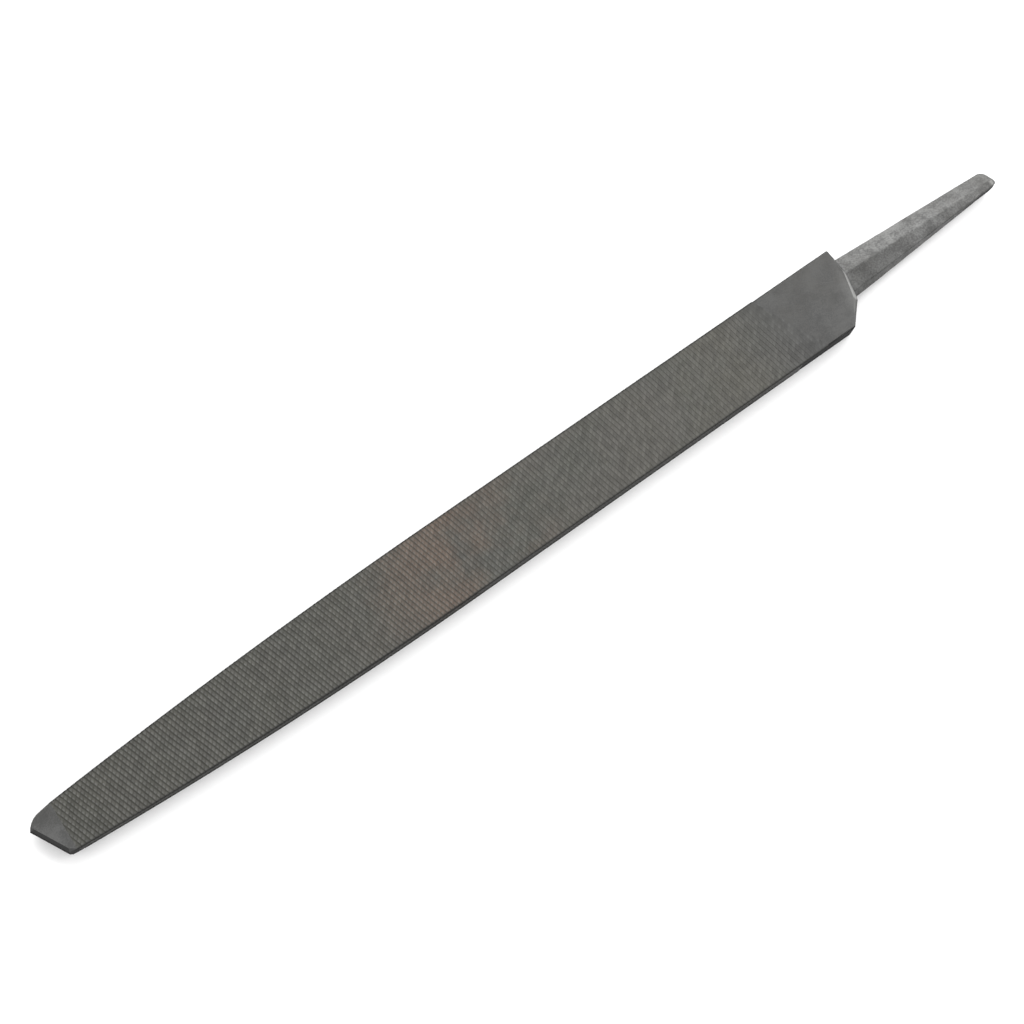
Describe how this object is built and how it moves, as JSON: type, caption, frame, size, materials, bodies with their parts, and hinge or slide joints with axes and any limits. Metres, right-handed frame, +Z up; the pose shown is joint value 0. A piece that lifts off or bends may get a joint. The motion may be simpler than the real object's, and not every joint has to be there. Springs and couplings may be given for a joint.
{
  "type": "flat file",
  "caption": "Flat hand file for metalwork: a toothed steel blade that narrows to a slanted point, with a smooth heel and a bare tapered tang.",
  "frame": {"origin": "on the surface that the file lies on, under the middle of its overall length and width", "axes": "+X along the length from the point towards the tang, +Y across the width towards the square heel shoulder, +Z up through the thickness"},
  "size_m": [0.307, 0.022, 0.0055],
  "materials": {
    "cut_steel": "double-cut file teeth, dull grey with slightly bright crests and dark gullets",
    "smooth_steel": "dull grey forged and ground steel, lightly mottled",
    "tang_steel": "lighter grey forged steel with soft hammer facets",
    "core_steel": "solid hardened steel, not seen"
  },
  "bodies": {
    "root": {"point": "smooth_steel", "blade_core": "core_steel", "upper_face_cut": "cut_steel", "lower_face_cut": "cut_steel", "left_edge_cut": "cut_steel", "right_edge_cut": "cut_steel", "heel": "smooth_steel", "tang": "tang_steel"}
  },
  "joints": []
}
